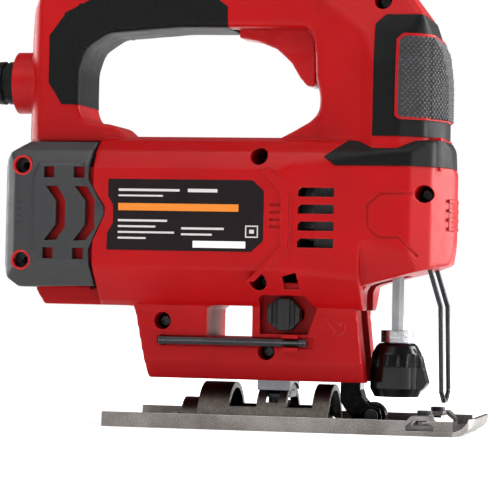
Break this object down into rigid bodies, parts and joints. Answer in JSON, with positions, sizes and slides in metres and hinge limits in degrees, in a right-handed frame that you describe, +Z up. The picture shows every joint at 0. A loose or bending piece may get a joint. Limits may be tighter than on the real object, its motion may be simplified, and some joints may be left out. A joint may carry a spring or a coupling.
{
  "type": "jigsaw",
  "caption": "Corded D-handle jigsaw: clamshell motor body, tilting pressed-steel sole, reciprocating plunger with tool-free blade clamp, guide roller, trigger and mains lead.",
  "frame": {"origin": "a point on the sole's flat underside, on the axis that the sole tilts about, in the tool's centre plane", "axes": "+X forward, the way the tool cuts; +Y to the tool's left; +Z up, away from the work"},
  "size_m": [0.3261, 0.0991, 0.2054],
  "materials": {
    "red_plastic": "satin fine-textured moulded plastic",
    "charcoal_plastic": "fine-textured moulded plastic",
    "black_rubber": "soft overmould",
    "pad_rubber": "diamond-knurled soft overmould",
    "cord_rubber": "smooth cord jacket",
    "black_plastic": "moulded plastic",
    "label_film": "printed film",
    "sole_steel": "pressed, plated and grainy",
    "bracket_steel": "pressed, darker plating",
    "bright_steel": "ground",
    "black_oxide": "black oxide",
    "core_steel": "laminated stack",
    "copper_wire": "enamelled copper",
    "die_cast": "die cast",
    "bronze": "sintered bronze",
    "brass_pin": "rolled brass",
    "nylon": "glass-filled nylon",
    "phenolic": "phenolic board",
    "carbon": "pressed carbon"
  },
  "bodies": {
    "body": {"housing_right": "red_plastic", "housing_left": "red_plastic", "rear_cap": "charcoal_plastic", "cap_bosses": "red_plastic", "housing_screws": "bright_steel", "rating_label": "label_film", "front_band": "black_rubber", "front_panel": "black_rubber", "pad_trim": "red_plastic", "front_pad": "pad_rubber", "grip_rubber": "black_rubber", "top_rubber": "black_rubber", "strain_relief": "cord_rubber", "cord": "cord_rubber", "cord_coil": "cord_rubber", "cord_tail": "cord_rubber", "plug": "cord_rubber", "plug_pins": "brass_pin", "trigger_pin": "bright_steel", "dial_axle": "bright_steel", "switch_body": "black_plastic", "field_core": "core_steel", "field_windings": "copper_wire", "front_bearing": "bright_steel", "rear_bearing": "bright_steel", "brush_plate": "phenolic", "brushes": "carbon", "gear_housing": "die_cast", "gear_axle": "bright_steel", "plunger_bushes": "bronze", "arm_pin": "bright_steel", "bevel_seat": "black_oxide", "bevel_screw": "black_oxide", "wire_guard": "black_oxide"},
    "foot": {"foot_plate": "sole_steel", "foot_bracket": "bracket_steel", "foot_rivets": "bright_steel", "guide_screws": "black_oxide"},
    "armature": {"armature_shaft": "bright_steel", "armature_core": "core_steel", "armature_windings": "copper_wire", "commutator": "copper_wire", "fan": "nylon", "pinion": "bright_steel"},
    "gear": {"drive_gear": "bright_steel"},
    "plunger": {"plunger": "bright_steel", "clamp_collar": "bright_steel", "clamp_pin": "bright_steel", "clamp_core": "core_steel"},
    "bell": {"clamp_bell": "black_plastic"},
    "arm": {"roller_arm": "bracket_steel", "roller_pin": "bright_steel"},
    "roller": {"guide_roller": "bright_steel"},
    "trigger": {"trigger": "red_plastic"},
    "lock": {"lock_button": "black_plastic"},
    "dial": {"speed_dial": "red_plastic"},
    "key": {"hex_key": "black_oxide"},
    "knob": {"blower_knob": "black_plastic"},
    "selector": {"selector_lever": "black_plastic"}
  },
  "joints": [
    {"name": "foot_bevel", "type": "hinge", "parent": "body", "child": "foot", "pos_m": [0, 0, 0], "axis": [1, 0, 0], "range_deg": [-45, 45]},
    {"name": "armature_spin", "type": "hinge", "parent": "body", "child": "armature", "pos_m": [0, 0, 0.08], "axis": [1, 0, 0], "continuous": true},
    {"name": "gear_spin", "type": "hinge", "parent": "body", "child": "gear", "pos_m": [0, 0, 0.0984], "axis": [1, 0, 0], "continuous": true},
    {"name": "plunger_stroke", "type": "slide", "parent": "body", "child": "plunger", "axis": [0, 0, 1], "range_m": [0, 0.018]},
    {"name": "clamp_twist", "type": "hinge", "parent": "plunger", "child": "bell", "pos_m": [0.06375, 0, 0.0144], "axis": [0, 0, 1], "range_deg": [0, 60], "stiffness_Nm_per_rad": 0.05, "springref_deg": -17.19},
    {"name": "roller_arm_swing", "type": "hinge", "parent": "body", "child": "arm", "pos_m": [0.0452, 0, 0.03], "axis": [0, -1, 0], "range_deg": [0, 3.5]},
    {"name": "roller_spin", "type": "hinge", "parent": "arm", "child": "roller", "pos_m": [0.0543, 0, 0.0062], "axis": [0, 1, 0], "continuous": true},
    {"name": "trigger_pull", "type": "hinge", "parent": "body", "child": "trigger", "pos_m": [0.022, 0, 0.172], "axis": [0, 1, 0], "range_deg": [0, 12], "stiffness_Nm_per_rad": 0.6, "springref_deg": -14.32},
    {"name": "lock_press", "type": "slide", "parent": "body", "child": "lock", "axis": [0, -1, 0], "range_m": [0, 0.003], "stiffness_N_per_m": 600, "springref_m": -0.002},
    {"name": "dial_turn", "type": "hinge", "parent": "body", "child": "dial", "pos_m": [0.042, 0, 0.1896], "axis": [0, 1, 0], "range_deg": [0, 270]},
    {"name": "blower_slide", "type": "slide", "parent": "body", "child": "knob", "axis": [1, 0, 0], "range_m": [0, 0.0028]},
    {"name": "selector_turn", "type": "hinge", "parent": "body", "child": "selector", "pos_m": [0.0362, 0, 0.0415], "axis": [0, -1, 0], "range_deg": [0, 90]},
    {"name": "hex_key_out", "type": "slide", "parent": "body", "child": "key", "axis": [0, -1, 0], "range_m": [0, 0.02]}
  ],
  "couplings": [
    {"joint": "gear_spin", "follows": "armature_spin", "ratio": -0.21053}
  ]
}
